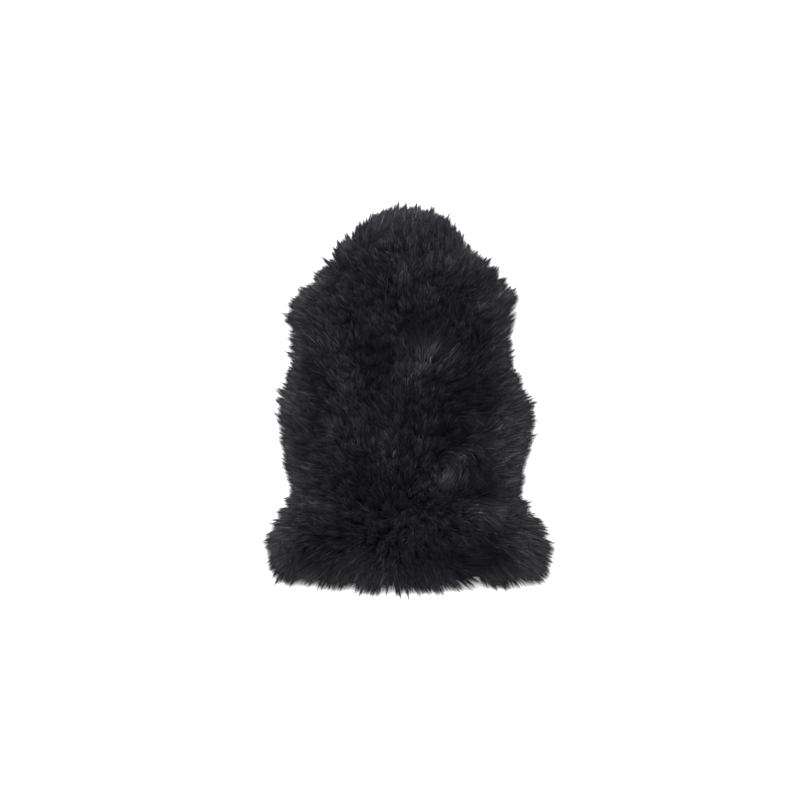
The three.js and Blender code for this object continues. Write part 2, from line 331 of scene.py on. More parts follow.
def turned(directions, angles):
    """Plan directions, each turned by its angle."""
    cos = np.cos(angles)
    sin = np.sin(angles)
    x = directions[:, 0] * cos - directions[:, 1] * sin
    y = directions[:, 0] * sin + directions[:, 1] * cos
    return np.stack([x, y], axis=1)


def heading(shares):
    """Plan directions from shares of a full turn."""
    return np.stack([np.cos(2 * math.pi * shares), np.sin(2 * math.pi * shares)], axis=1)


def left_of(ways):
    """Plan directions a quarter turn to the left of others."""
    return np.stack([-ways[:, 1], ways[:, 0]], axis=1)


def smooth_step(values, low, high):
    """0 below low, 1 above high, and smooth between them."""
    share = np.clip((values - low) / (high - low), 0, 1)
    return share * share * (3 - 2 * share)


class Noise:
    """Smooth random values from -1 to 1 over the plan, with features of one size."""

    CELLS = 256

    def __init__(self, size, seed):
        self.size = size
        self.table = np.random.default_rng(seed).uniform(-1, 1, (self.CELLS, self.CELLS))

    def __call__(self, points):
        """The values at points."""
        place = points[:, :2] / self.size + self.CELLS / 2
        corner = np.floor(place).astype(int)
        share = place - corner
        share = share * share * (3 - 2 * share)
        low = corner % self.CELLS
        high = (corner + 1) % self.CELLS
        near = (1 - share[:, 0]) * self.table[low[:, 0], low[:, 1]]
        near += share[:, 0] * self.table[high[:, 0], low[:, 1]]
        far = (1 - share[:, 0]) * self.table[low[:, 0], high[:, 1]]
        far += share[:, 0] * self.table[high[:, 0], high[:, 1]]
        return (1 - share[:, 1]) * near + share[:, 1] * far


class Scatter:
    """Points strewn over the plan at one pitch, each with its own chances from 0 to 1."""

    SPAN = 2.4  # metres, well beyond the rug
    STRAY = 0.42  # how far a point strays from its row, in pitches
    ROW = 0.9  # from row to row, in pitches
    CHANCES = 6

    def __init__(self, pitch, seed, names):
        self.pitch = pitch
        self.names = names
        self.cells = int(self.SPAN / pitch)
        rng = np.random.default_rng(seed)
        steps = np.arange(self.cells) - self.cells / 2
        across, along = np.meshgrid(steps, steps, indexing="ij")
        across = across + 0.5 * (np.arange(self.cells) % 2)[None, :]
        grid = np.stack([across, along * self.ROW], axis=-1)
        self.places = (grid + rng.uniform(-self.STRAY, self.STRAY, grid.shape)) * pitch
        self.chances = rng.random((self.cells, self.cells, self.CHANCES))

    def nearest(self, points):
        """The nearest place to each point, and its chances by their names."""
        row = np.round(points[:, 1] / self.pitch / self.ROW + self.cells / 2).astype(int)
        best = np.full(len(points), np.inf)
        found = np.zeros((len(points), 2), int)
        for step_row in (-1, 0, 1):
            j = row + step_row
            offset = 0.5 * (j % 2)
            column = np.round(points[:, 0] / self.pitch - offset + self.cells / 2).astype(int)
            for step_column in (-1, 0, 1):
                i = column + step_column
                away = np.sum((self.places[i, j] - points[:, :2]) ** 2, axis=1)
                nearer = away < best
                best[nearer] = away[nearer]
                found[nearer] = np.stack([i, j], axis=1)[nearer]
        chances = self.chances[found[:, 0], found[:, 1]]
        return self.places[found[:, 0], found[:, 1]], dict(zip(self.names, chances.T))


def hide_edge(node):
    """The cut edge of the hide, as the anticlockwise loop of points round the solid's flat foot."""
    same_place = 1e-6
    downward = -0.99
    on_floor = 1e-4
    mesh = bmesh.new()
    mesh.from_mesh(node.data)
    bmesh.ops.remove_doubles(mesh, verts=mesh.verts, dist=same_place)
    mesh.faces.ensure_lookup_table()
    flat = [f for f in mesh.faces if f.normal.z < downward and abs(f.calc_center_median().z) < on_floor]
    start = min(flat, key=lambda face: face.calc_center_median().length)
    flat = set(flat)
    foot = {start}
    front = [start]
    while front:
        face = front.pop()
        for edge in face.edges:
            for other in edge.link_faces:
                if other in flat and other not in foot:
                    foot.add(other)
                    front.append(other)
    following = {}
    for face in foot:
        for loop in face.loops:
            if loop.link_loop_radial_next.face not in foot:
                following[loop.link_loop_next.vert] = loop.vert
    vertex = max(following, key=lambda vert: (vert.co.y, vert.co.x))
    ring = []
    for _ in following:
        ring.append(vertex.co.to_2d())
        vertex = following[vertex]
    mesh.free()
    return np.array(ring)


def resampled(ring, count):
    """A closed line as evenly spaced points."""
    closed = np.vstack([ring, ring[:1]])
    steps = np.linalg.norm(np.diff(closed, axis=0), axis=1)
    walked = np.concatenate([[0], np.cumsum(steps)])
    stops = np.linspace(0, walked[-1], count, endpoint=False)
    return np.stack([np.interp(stops, walked, closed[:, axis]) for axis in (0, 1)], axis=1)


def outward_normals(ring, reach=4):
    """The outward normals of an anticlockwise closed line, smoothed over its neighbours."""
    way = np.roll(ring, -reach, axis=0) - np.roll(ring, reach, axis=0)
    return unit(np.stack([way[:, 1], -way[:, 0]], axis=1))


class Pelt:
    """The rug's plan and its surface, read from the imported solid."""

    EDGE_POINTS = 720
    PITCH = 0.004
    BORDER = 14  # samples beyond the solid's box
    CEILING = 0.2
    AT_ONCE = 4000  # points measured together, to save memory
    RIM = (0.02, 0.09)  # the least and the most that the wool reaches beyond the hide
    RIM_STEP = 0.001
    RIM_BLUR = range(-4, 5)  # neighbours along the edge
    SLOPE_HEIGHT = 0.0225  # of the wool where the rim's slope starts
    SLOPE_FOOT = 0.0008
    SLOPE_START = 0.4  # in shares of the rim's width, as the next two are
    SLOPE_WIDTH = 0.62
    SLOPE_BELT = (0.3, 0.55)  # where the solid's surface gives way to the slope

    def __init__(self, node):
        self.cut = hide_edge(node)
        self.edge = resampled(self.cut, self.EDGE_POINTS)
        self.normals = outward_normals(self.edge)
        low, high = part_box(SOLID)
        self.low = np.array(low[:2]) - self.BORDER * self.PITCH
        self.shape = np.ceil((np.array(high[:2]) - self.low) / self.PITCH).astype(int) + self.BORDER
        across, along = np.meshgrid(np.arange(self.shape[0]), np.arange(self.shape[1]), indexing="ij")
        places = self.low + np.stack([across.ravel(), along.ravel()], axis=1) * self.PITCH
        tree = BVHTree.FromObject(node, bpy.context.evaluated_depsgraph_get())
        hits = [tree.ray_cast((x, y, self.CEILING), (0, 0, -1))[0] for x, y in places.tolist()]
        heights = np.array([0.0 if hit is None else hit.z for hit in hits])
        widths = self.rim_widths(heights.reshape(self.shape) > 0)
        distance, outwards, nearest = self.measured_from_edge(places)
        table = np.column_stack([heights, distance, outwards, widths[nearest]])
        self.table = table.reshape(*self.shape, table.shape[1])

    def rim_widths(self, covered):
        """How far the tips of the solid's locks reach beyond each point of the hide's edge."""
        steps = np.arange(*self.RIM, self.RIM_STEP)
        walk = self.edge[:, None] + steps[None, :, None] * self.normals[:, None]
        cell = np.round((walk - self.low) / self.PITCH).astype(int)
        width = steps[np.argmin(covered[cell[..., 0], cell[..., 1]], axis=1)]
        widest = np.max([np.roll(width, shift) for shift in self.RIM_BLUR], axis=0)
        return np.mean([np.roll(widest, shift) for shift in self.RIM_BLUR], axis=0)

    def measured_from_edge(self, points):
        """How far points lie outside the hide's cut edge, the way out and the nearest edge point."""
        distance = np.zeros(len(points))
        found = np.zeros(len(points), int)
        for start in range(0, len(points), self.AT_ONCE):
            part = slice(start, start + self.AT_ONCE)
            gaps = points[part, None, :] - self.edge[None, :, :]
            squares = np.einsum("ijk,ijk->ij", gaps, gaps)
            nearest = np.argmin(squares, axis=1)
            rows = np.arange(len(nearest))
            side = np.einsum("ij,ij->i", gaps[rows, nearest], self.normals[nearest])
            distance[part] = np.copysign(np.sqrt(squares[rows, nearest]), side)
            found[part] = nearest
        return distance, self.normals[found], found

    def sampled(self, points, columns):
        """Columns of the table at points, smoothly between the samples."""
        place = (points[:, :2] - self.low) / self.PITCH
        corner = np.clip(np.floor(place).astype(int), 0, self.shape - 2)
        share = np.clip(place - corner, 0, 1)
        across, along = share[:, :1], share[:, 1:]
        i, j = corner[:, 0], corner[:, 1]
        table = self.table[:, :, columns]
        near = (1 - across) * table[i, j] + across * table[i + 1, j]
        far = (1 - across) * table[i, j + 1] + across * table[i + 1, j + 1]
        return (1 - along) * near + along * far

    def distance(self, points):
        """How far points lie outside the hide's cut edge, less than 0 inside it."""
        return self.sampled(points, slice(1, 2))[:, 0]

    def outwards(self, points):
        """The way out of the rug."""
        return unit(self.sampled(points, slice(2, 4)))

    def margin(self, points):
        """How far the wool of the nearest rim reaches beyond the hide."""
        return self.sampled(points, slice(4, 5))[:, 0]

    def height(self, points):
        """The height of the wool's surface: the solid's, and round the rim a slope down to the floor."""
        sample = self.sampled(points, slice(0, 5))
        distance = sample[:, 1]
        margin = sample[:, 4]
        fall = np.clip((distance - self.SLOPE_START * margin) / (self.SLOPE_WIDTH * margin), 0, 1)
        slope = self.SLOPE_HEIGHT * np.sqrt(1 - fall * fall) + self.SLOPE_FOOT
        near, far = self.SLOPE_BELT
        rim = smooth_step(distance, near * margin, far * margin)
        return (1 - rim) * sample[:, 0] + rim * slope


PELT = Pelt(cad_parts[SOLID])


def weight_at(points, place, wide, long):
    """How strongly a place acts on points, 1 at its middle and fading over its size, and the gaps to it."""
    gap = points - np.array([place.x, place.y])
    return np.exp(-np.sum((gap / (wide, long)) ** 2, axis=1)), gap


def middle_of_rug(points):
    """0 along the rim and 1 in the middle, where the wool stands up instead of lying over."""
    return smooth_step(-PELT.distance(points), *MIDDLE_BELT)


def lie_of_wool(points):
    """How the wool leans over the plan, 0 upright to 1 flat, its lift, its bow and how wild it is."""
    middle = middle_of_rug(points)
    points = points + WARP.strength * WARP.over(points)
    rows = LIE[::-1]
    stations = [row.y for row in rows]
    left = np.interp(points[:, 1], stations, [math.radians(row.left) for row in rows])
    right = np.interp(points[:, 1], stations, [math.radians(row.right) for row in rows])
    share = np.clip(points[:, 0] / LIE_WIDTH, -1, 1)
    angle = np.where(share < 0, left, right)
    lean = np.stack([share * np.sin(angle), np.cos(angle)], axis=1)
    rim = smooth_step(PELT.distance(points), *RIM_BELT)
    lean = lean + RIM_LEAN * rim[:, None] * PELT.outwards(points)
    lift = np.zeros(len(points))
    bow = np.zeros(len(points))
    wild = 1 - RIM_CALM * rim
    turn = TURNS.strength * TURNS.over(points)[:, 0]
    for tuft in TUFTS:
        weight, gap = weight_at(points, tuft, tuft.size, tuft.size)
        lean = lean + (weight * tuft.comb)[:, None] * (unit(lean) - lean)
        lean = lean + (weight * tuft.spread)[:, None] * unit(gap)
        turn = turn - weight * math.radians(tuft.turn)
        lift += weight * tuft.lift
        bow += weight * tuft.bow
        wild -= weight * tuft.comb
    wild = np.clip(wild, LEAST_WILD, 1)
    lean = turned(lean, turn) + (GUSTS.strength * wild)[:, None] * GUSTS.over(points)
    lean = lean + (FLURRIES.strength * wild * middle)[:, None] * FLURRIES.over(points)
    return lean, lift, bow, wild


def tone_and_painted_light_of_wool(points):
    """The tone of the wool at each point of the plan, the same for its neighbourhood: partly its own tone
    and partly painted light and shade.
    """
    distance = PELT.distance(points)
    # Painted light: the wool is lighter towards the rim and again at its tips.
    tone = BASE_TONE + RIM_PAINTED_LIGHT * smooth_step(distance, *RIM_LIGHT_BELT)
    tone = tone + TIPS_PAINTED_LIGHT * smooth_step(distance, *TIPS_LIGHT_BELT)
    for waver in (CLOUDS, MOTTLES):
        tone = tone + waver.strength * waver.over(points)[:, 0]
    for shade in TONE_AND_PAINTED_LIGHT:
        weight, _ = weight_at(points, shade, shade.wide, shade.long)
        tone = tone + weight * shade.tone
    return tone


def fitted_reach(starts, ways, reach, rim_share, filled):
    """The reach that ends inside the rim's line, and on it for those that fill the rim."""
    least_slope = 0.3
    shortest = 0.012
    longest = 0.085

    def beyond(points):
        return PELT.distance(points) - rim_share * PELT.margin(points)

    near = beyond(starts)
    for _ in range(3):
        far = beyond(starts + ways * reach[:, None])
        slope = np.maximum((far - near) / reach, least_slope)
        reach = np.where((far > 0) | filled, np.clip(-near / slope, shortest, longest), reach)
    return reach


def new_piece(name, mesh, material):
    """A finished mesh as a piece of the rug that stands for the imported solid."""
    piece = bpy.data.objects.new(name, mesh)
    bpy.context.scene.collection.objects.link(piece)
    mesh.materials.append(material)
    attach(piece, "root")
    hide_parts(SOLID)
    return piece


def mesh_of(name, points, corners, faces, uv=None):
    """A smooth mesh from points, the faces' corners in order and each face's number of corners."""
    mesh = bpy.data.meshes.new(name)
    mesh.vertices.add(len(points))
    mesh.vertices.foreach_set("co", np.ascontiguousarray(points, np.float32).ravel())
    mesh.loops.add(len(corners))
    mesh.loops.foreach_set("vertex_index", np.ascontiguousarray(corners, np.int32))
    mesh.polygons.add(len(faces))
    starts = np.concatenate([[0], np.cumsum(faces)[:-1]])
    mesh.polygons.foreach_set("loop_start", np.ascontiguousarray(starts, np.int32))
    mesh.polygons.foreach_set("loop_total", np.ascontiguousarray(faces, np.int32))
    mesh.polygons.foreach_set("use_smooth", np.ones(len(faces), bool))
    if uv is not None:
        layer = mesh.uv_layers.new(name=UV_NAME)
        layer.data.foreach_set("uv", np.ascontiguousarray(uv, np.float32).ravel())
    mesh.update(calc_edges=True)
    mesh.validate()
    return mesh


def strand_pattern():
    """One strand's faces: the corners, each corner's station and side, and the corners of each face."""
    last = len(STATIONS) - 2
    corners = []
    places = []
    for low in range(last):
        high = low + 1
        corners += [2 * low, 2 * high, 2 * high + 1, 2 * low + 1]
        places += [(low, 0), (high, 0), (high, 1), (low, 1)]
    corners += [2 * last, 2 * last + 2, 2 * last + 1]
    places += [(last, 0), (last + 1, 0.5), (last, 1)]
    stations, sides = zip(*places)
    return np.array(corners), np.array(stations), np.array(sides), np.array([4] * last + [3])


class Fleece:
    """Every strand of wool on the rug, in arrays with one row for a strand."""

    CHANCES = ("heading", "reach", "rim", "bend", "depth", "tone")
    THREAD_CHANCES = ("depth", "tone")
    # Belts inside the hide's edge, where roots are densest and where wisps fill the rim
    DENSE_BELT = 0.03
    FILLED_BELT = 0.024
    MIDDLE_DENSITY = 0.62  # in shares of that of the dense belt
    THICKNESS = (0.6, 1.2)  # the least and the most, in shares of the usual one
    ROLL = 0.55  # how far strands roll about their own length, in radians
    EDGE = 0.01  # how far strands keep off the sides of the UV map

    def __init__(self, settings):
        self.settings = settings
        self.roots = self.rooted()
        self.count = len(self.roots)
        wisps = Scatter(settings.wisp_pitch, SEED_WISPS, self.CHANCES)
        self.wisp, self.wisp_chance = wisps.nearest(self.roots)
        locks = Scatter(settings.lock_pitch, SEED_LOCKS, self.CHANCES)
        self.lock, self.lock_chance = locks.nearest(self.wisp)
        threads = Scatter(settings.thread_pitch, SEED_THREADS, self.THREAD_CHANCES)
        self.thread_chance = threads.nearest(self.roots)[1]
        self.middle = middle_of_rug(self.wisp)
        self.filled = PELT.distance(self.wisp) > -self.FILLED_BELT
        self.lean, self.lift, self.bow, self.wild = lie_of_wool(0.5 * (self.lock + self.wisp))
        self.wisp_tip, self.reach = self.gathered()
        self.wisp_way = unit(self.wisp_tip - self.wisp)
        self.offset = np.einsum("ij,ij->i", self.roots - self.wisp, left_of(self.wisp_way))
        self.depth = self.sunk()
        self.rng = np.random.default_rng(SEED_STRANDS)
        self.paths = self.laid(self.tips())
        self.tones = self.toned()
        self.thickness = settings.strand_thickness * self.rng.uniform(*self.THICKNESS, self.count)
        self.rolls = self.rng.normal(0, self.ROLL, self.count)

    def rooted(self):
        """Where the strands are rooted, denser by the rim, whose wool has the overhang to cover as well."""
        rng = np.random.default_rng(SEED_ROOTS)
        low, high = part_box(SOLID)
        size = np.array(high[:2]) - np.array(low[:2])
        roots = np.array(low[:2]) + rng.random((3 * self.settings.strands, 2)) * size
        outside = PELT.distance(roots)
        density = np.where(outside > -self.DENSE_BELT, 1.0, self.MIDDLE_DENSITY)
        kept = rng.random(len(roots)) < density
        return roots[(outside < self.settings.root_overhang) & kept][:self.settings.strands]

    def gathered(self):
        """Where the wisps end, drawn towards the tips of their locks, and how far they reach."""
        lock_stray = 0.24
        wisp_stray = 0.16
        lean = self.lean + (lock_stray * self.wild)[:, None] * heading(self.lock_chance["heading"])
        way = unit(lean)
        wisp_way = unit(lean + (wisp_stray * self.wild)[:, None] * heading(self.wisp_chance["heading"]))

        # Where the wool of the rim ends, in shares of the rim's width
        rim_reach = 1.20
        lock_loss = 0.06
        wisp_loss = 0.18
        jut = 0.50
        limit = rim_reach - lock_loss * self.lock_chance["rim"] - wisp_loss * self.wisp_chance["reach"]
        limit = limit + jut * self.wisp_chance["rim"] ** 4

        # How far it reaches by chance, by its lean and where it is combed
        least = 0.8
        more = 0.4
        by_lean = 1.2
        upright = 0.45
        combed = 1.25
        reach = self.settings.strand_reach * (least + more * self.lock_chance["reach"])
        reach = reach * np.clip(by_lean * np.linalg.norm(lean, axis=1), upright, 1)
        reach = reach * (combed - (combed - 1) * self.wild)
        lock_reach = fitted_reach(self.lock, way, reach, limit, self.filled)
        reach = reach * (least + more * self.wisp_chance["reach"])
        reach = fitted_reach(self.wisp, wisp_way, reach, limit, self.filled)
        to_lock = 0.22
        lock_tip = self.lock + way * lock_reach[:, None]
        wisp_tip = self.wisp + wisp_way * reach[:, None]
        return wisp_tip + to_lock * (lock_tip - wisp_tip), reach

    def tips(self):
        """Where the strands end: those of a wisp along a slim cone that narrows to the wisp's tip."""
        length = 0.42
        rim_length = 0.30
        tip_width = 0.12
        growth = 0.75
        back = np.sqrt(self.rng.random(self.count))
        cone_length = self.reach * np.where(self.filled, rim_length, length)
        width = (tip_width + growth * back) * self.offset
        tip = self.wisp_tip - self.wisp_way * (back * cone_length)[:, None]
        tip = tip + left_of(self.wisp_way) * width[:, None]

        stray = 0.0008
        middle_stray = 0.002
        loose_stray = 0.004
        loose_share = 0.12
        stray = stray + middle_stray * self.middle * self.wild
        stray = stray + loose_stray * (self.rng.random(self.count) < loose_share)
        return tip + self.rng.normal(0, 1, (self.count, 2)) * stray[:, None]

    def sunk(self):
        """How deep the strands lie below the crest of the wool."""
        by_wisp = 0.0030
        by_lock = 0.0035
        by_flank = 0.002  # at the sides of a wisp
        by_thread = 0.003
        combed = 0.3
        flank = np.clip(np.abs(self.offset) / (0.5 * self.settings.wisp_pitch), 0, 1)
        depth = by_wisp * self.wisp_chance["depth"] + by_lock * self.lock_chance["depth"]
        depth = (depth + by_flank * flank) * (combed + (1 - combed) * self.wild)
        return depth + by_thread * self.thread_chance["depth"]

    def laid(self, tip):
        """The strands' paths from their roots to their tips, over the surface of the wool."""
        span = tip - self.roots
        aside = unit(left_of(span))
        lock_bend = 0.0025 + 0.0045 * self.middle
        wisp_bend = 0.002 + 0.001 * self.middle
        usual_crimp = 0.0011
        bend = lock_bend * (2 * self.lock_chance["bend"] - 1)
        bend = bend * self.wild + self.bow + wisp_bend * (2 * self.wisp_chance["bend"] - 1)
        crimp = self.rng.normal(0, usual_crimp, self.count)

        highest = 0.006
        full_height = 0.02  # of the surface, below which the crest is lower
        least_share = 0.1
        root_share = 0.5
        tip_sink = 0.0025
        floor_gap = 0.0011
        crest = highest + self.lift - self.depth
        paths = np.empty((self.count, len(STATIONS), 3))
        for index, station in enumerate(STATIONS):
            wave = station.bend * bend + station.crimp * crimp
            plan = self.roots + station.out * span + wave[:, None] * aside
            surface = PELT.height(plan)
            paths[:, index, :2] = plan
            paths[:, index, 2] = surface + crest * np.clip(surface / full_height, least_share, 1)
            if index == 0:
                paths[:, index, 2] = root_share * surface
        paths[:, -1, 2] -= tip_sink
        paths[:, :, 2] = np.maximum(paths[:, :, 2], floor_gap)
        return paths

    def toned(self):
        """The strands' tones at their stations, partly their own and partly painted light and shade."""
        # One part comes from the place where the wisp is seen, the other from the place under each station.
        seen_at = 0.6
        seen_share = 0.4
        station_share = 0.6
        group_tone = 0.04
        seen = (1 - seen_at) * self.wisp + seen_at * self.wisp_tip
        tones = seen_share * tone_and_painted_light_of_wool(seen) + group_tone * (self.lock_chance["tone"] - 0.5)
        tones = tones + (group_tone + group_tone * self.middle) * (self.wisp_chance["tone"] - 0.5)

        # Most strands are a little darker than their place, and a few are much lighter: partly their own
        # random tone and partly painted glints.
        thread_tone = 0.36
        bright_tone = 0.21
        brightest = 3
        bright = np.minimum(self.rng.exponential(1, self.count), brightest) - 1
        varied = thread_tone * (self.thread_chance["tone"] - 0.5) + bright_tone * bright
        variety = 0.90 + 0.25 * self.middle
        tones = tones + variety * varied
        # Painted shade: strands that lie deeper in the wool are darker.
        painted_shade_by_depth = 15
        usual_depth = 0.0065
        tones = tones - painted_shade_by_depth * (self.depth - usual_depth)
        passed = [station_share * tone_and_painted_light_of_wool(self.paths[:, index, :2]) for index in range(len(STATIONS))]
        tones = tones[:, None] + np.stack(passed, axis=1)
        return np.clip(tones, self.EDGE, (1 - self.EDGE) * TONE_RANGE)

    def mesh(self, name, rows):
        """The strands of some rows as flat tapered ribbons, joined in one mesh."""
        paths = self.paths[rows]
        count = len(paths)
        last = len(STATIONS) - 1
        ways = np.empty((count, last, 3))
        ways[:, 0] = paths[:, 1] - paths[:, 0]
        for index in range(1, last):
            ways[:, index] = paths[:, index + 1] - paths[:, index - 1]
        ways = unit(ways)
        not_zero = 1e-6
        aside = unit(np.cross(ways, (0.0, 0.0, 1.0)) + not_zero)
        ridge = np.cross(aside, ways)
        rolls = self.rolls[rows, None]
        points = np.empty((count, 2 * last + 1, 3))
        for index in range(last):
            half = 0.5 * self.thickness[rows] * STATIONS[index].thick
            across = np.cos(rolls) * aside[:, index] + np.sin(rolls) * ridge[:, index]
            points[:, 2 * index] = paths[:, index] - half[:, None] * across
            points[:, 2 * index + 1] = paths[:, index] + half[:, None] * across
        points[:, -1] = paths[:, -1]
        corners, stations, sides, faces = strand_pattern()
        all_corners = (corners[None, :] + (2 * last + 1) * np.arange(count)[:, None]).ravel()
        along = np.array([station.along for station in STATIONS])
        uv = np.empty((count, len(corners), 2))
        uv[:, :, 0] = self.EDGE + (1 - 2 * self.EDGE) * along[stations]
        uv[:, :, 1] = self.tones[rows][:, stations] / TONE_RANGE * (1 - STRAND_SHADE) + STRAND_SHADE * sides
        return mesh_of(name, points.reshape(-1, 3), all_corners, np.tile(faces, count), uv.reshape(-1, 2))


def set_values(node, values):
    """Plain values for a node's sockets, which are named with _ for a space."""
    for name, value in values.items():
        node.inputs[name.replace("_", " ")].default_value = value


def add_node(tree, kind, place, **values):
    """A node of a material or a group, with its plain socket values."""
    node = tree.nodes.new(kind)
    node.location = place
    set_values(node, values)
    return node


def join(source, output, target, socket):
    """A link from an output of one node to a socket of another."""
    source.id_data.links.new(source.outputs[output], target.inputs[socket])


def blank_material(name):
    """A material without nodes, and its node tree."""
    material = bpy.data.materials.new(name)
    material.use_nodes = True
    material.node_tree.nodes.clear()
    return material, material.node_tree


def blank_group(name, inputs):
    """A shader node group that puts out a colour, with its own input and output node."""
    group = bpy.data.node_groups.new(name, "ShaderNodeTree")
    for socket, kind in inputs.items():
        group.interface.new_socket(socket, in_out="INPUT", socket_type="NodeSocket" + kind)
    group.interface.new_socket("Colour", in_out="OUTPUT", socket_type="NodeSocketColor")
    return group, add_node(group, "NodeGroupInput", (-600, 0)), add_node(group, "NodeGroupOutput", (600, 0))


def place_group(tree, place, group, **values):
    """A node group placed in a material, with its plain socket values."""
    node = add_node(tree, "ShaderNodeGroup", place)
    node.node_tree = group
    set_values(node, values)
    return node


def principled(tree, **values):
    """The surface of a material, joined to its output."""
    surface = add_node(tree, "ShaderNodeBsdfPrincipled", (300, 0), **values)
    output = add_node(tree, "ShaderNodeOutputMaterial", (600, 0))
    join(surface, "BSDF", output, "Surface")
    return surface


def strand_tint_group():
    """The colour of a strand: darker near its root, and by its own tone from the bluish deep colour of
    painted shade to the grey colour of painted light.
    """
    name = "Strand tint"
    if name in bpy.data.node_groups:
        return bpy.data.node_groups[name]
    sockets = {"Deep": "Color", "Worn": "Color", "Along": "Float", "Tone": "Float"}
    group, inside, outside = blank_group(name, sockets)
    rise = add_node(
        group, "ShaderNodeMapRange", (-300, 300), From_Min=0.15, From_Max=0.8, To_Min=0.1, To_Max=0.3)
    rise.interpolation_type = "SMOOTHSTEP"
    # The tone moves the colour from the painted shade's deep blue-black to the painted light's grey.
    lit_share = add_node(
        group, "ShaderNodeMapRange", (-300, 0), From_Min=0.1 / TONE_RANGE, From_Max=0.8 / TONE_RANGE)
    blend = add_node(group, "ShaderNodeMix", (0, 0))
    blend.data_type = "RGBA"
    steep = add_node(group, "ShaderNodeMath", (-300, -300))
    steep.operation = "POWER"
    steep.inputs[0].default_value = 10 ** TONE_RANGE
    gain = add_node(group, "ShaderNodeMath", (0, 300))
    gain.operation = "MULTIPLY"
    scaled = add_node(group, "ShaderNodeVectorMath", (300, 0))
    scaled.operation = "SCALE"
    join(inside, "Along", rise, "Value")
    join(inside, "Tone", lit_share, "Value")
    join(lit_share, "Result", blend, "Factor")
    join(inside, "Deep", blend, "A")
    join(inside, "Worn", blend, "B")
    join(inside, "Tone", steep, 1)
    join(steep, "Value", gain, 0)
    join(rise, "Result", gain, 1)
    join(blend, "Result", scaled, 0)
    join(gain, "Value", scaled, "Scale")
    join(scaled, "Vector", outside, "Colour")
    return group


def clouds_group():
    """Soft clouds in a colour, from a dark to a light shade of it."""
    name = "Clouds"
    if name in bpy.data.node_groups:
        return bpy.data.node_groups[name]
    sizes = ("Scale", "Detail", "Roughness")
    ends = ("From Min", "From Max")
    sockets = {"Vector": "Vector", "Dark": "Color", "Light": "Color", **dict.fromkeys(sizes + ends, "Float")}
    group, inside, outside = blank_group(name, sockets)
    noise = add_node(group, "ShaderNodeTexNoise", (-300, 0))
    share = add_node(group, "ShaderNodeMapRange", (0, 0))
    blend = add_node(group, "ShaderNodeMix", (300, 0))
    blend.data_type = "RGBA"
    for socket in ("Vector", *sizes):
        join(inside, socket, noise, socket)
    for socket in ends:
        join(inside, socket, share, socket)
    join(noise, "Fac", share, "Value")
    join(share, "Result", blend, "Factor")
    join(inside, "Dark", blend, "A")
    join(inside, "Light", blend, "B")
    join(blend, "Result", outside, "Colour")
    return group


def clouded(tree, surface, colour, dark, light, **values):
    """Clouds in a surface's colour, between two shares of it. Returns the node of their coordinates."""
    place = add_node(tree, "ShaderNodeTexCoord", (-900, 0))
    clouds = place_group(tree, (-300, 200), clouds_group(), **values)
    clouds.inputs["Dark"].default_value = (*[dark * channel for channel in colour], 1)
    clouds.inputs["Light"].default_value = (*[light * channel for channel in colour], 1)
    join(place, "Object", clouds, "Vector")
    join(clouds, "Colour", surface, "Base Color")
    return place


def wool_material(colours):
    """Black wool: dark at the roots, greyer at the tips, each strand with a tone of its own that also
    carries painted light and shade, bluish in the painted shade.
    """
    material, tree = blank_material("Black wool")
    place = add_node(tree, "ShaderNodeUVMap", (-600, 0))
    place.uv_map = UV_NAME
    split = add_node(tree, "ShaderNodeSeparateXYZ", (-300, 0))
    tint = place_group(tree, (0, 0), strand_tint_group(), Deep=(*colours.deep, 1), Worn=(*colours.lit_wool, 1))
    surface = principled(tree, Roughness=0.45, Specular_IOR_Level=0.03)
    join(place, "UV", split, "Vector")
    join(split, "X", tint, "Along")
    join(split, "Y", tint, "Tone")
    join(tint, "Colour", surface, "Base Color")
    return material


def underwool_material(colours):
    """Felted underwool: nearly black, clouded and matted."""
    material, tree = blank_material("Black underwool")
    surface = principled(tree, Roughness=0.8, Specular_IOR_Level=0.03)
    place = clouded(
        tree, surface, colours.underwool, dark=0.5, light=1.6,
        Scale=60, Detail=4, Roughness=0.6, From_Min=0.3, From_Max=0.75)
    mats = add_node(tree, "ShaderNodeTexNoise", (-300, -200), Scale=420, Detail=3, Distortion=1.2)
    bump = add_node(tree, "ShaderNodeBump", (0, -200), Strength=0.8, Distance=0.003)
    join(place, "Object", mats, "Vector")
    join(mats, "Fac", bump, "Height")
    join(bump, "Normal", surface, "Normal")
    return material


def hide_material(colours):
    """The skin side: dyed suede with a short nap, broad clouds and fine pores."""
    material, tree = blank_material("Dyed suede")
    surface = principled(
        tree, Roughness=0.88, Specular_IOR_Level=0.25, Sheen_Weight=0.3, Sheen_Roughness=0.5)
    place = clouded(
        tree, surface, colours.hide, dark=0.7, light=1.35,
        Scale=9, Detail=5, Roughness=0.62, From_Min=0.35, From_Max=0.7)
    nap = add_node(tree, "ShaderNodeTexNoise", (-600, -200), Scale=900, Detail=3)
    pores = add_node(tree, "ShaderNodeTexVoronoi", (-600, -500), Scale=260)
    height = add_node(tree, "ShaderNodeMath", (-300, -200))
    height.operation = "MULTIPLY_ADD"
    height.inputs[1].default_value = 0.5
    bump = add_node(tree, "ShaderNodeBump", (0, -200), Strength=0.5, Distance=0.0006)
    join(place, "Object", nap, "Vector")
    join(place, "Object", pores, "Vector")
    join(pores, "Distance", height, 0)
    join(nap, "Fac", height, 2)
    join(height, "Value", bump, "Height")
    join(bump, "Normal", surface, "Normal")
    return material


